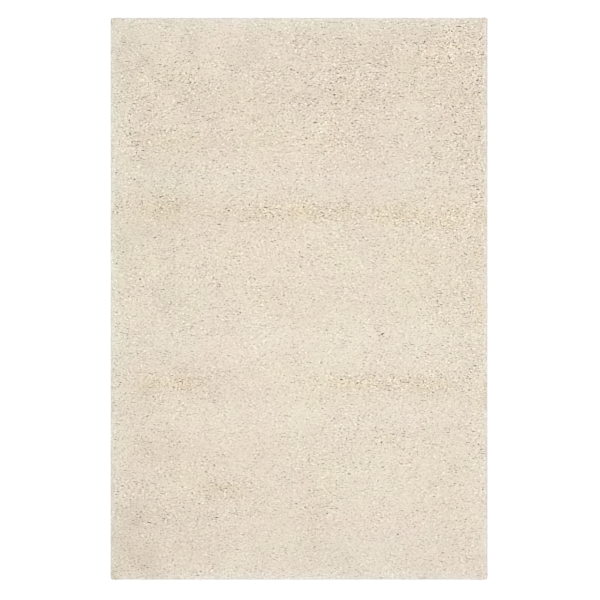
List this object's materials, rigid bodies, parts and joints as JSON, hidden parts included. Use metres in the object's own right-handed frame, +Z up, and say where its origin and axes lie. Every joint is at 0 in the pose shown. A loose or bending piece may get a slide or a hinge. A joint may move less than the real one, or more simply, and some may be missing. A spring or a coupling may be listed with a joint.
{
  "type": "shag rug",
  "caption": "Rectangular cream rug of deep, dense yarn pile, lying flat, with locks of yarn drooping round its rim.",
  "frame": {"origin": "centre of the flat underside, on the floor", "axes": "+X across the rug's width, +Y along its length, +Z up from the floor"},
  "size_m": [1.22, 1.821, 0.041],
  "materials": {
    "yarn": "soft matt cream pile yarn, with a little sheen along the tufts"
  },
  "bodies": {
    "root": {"shag_rug": "yarn"}
  },
  "joints": []
}
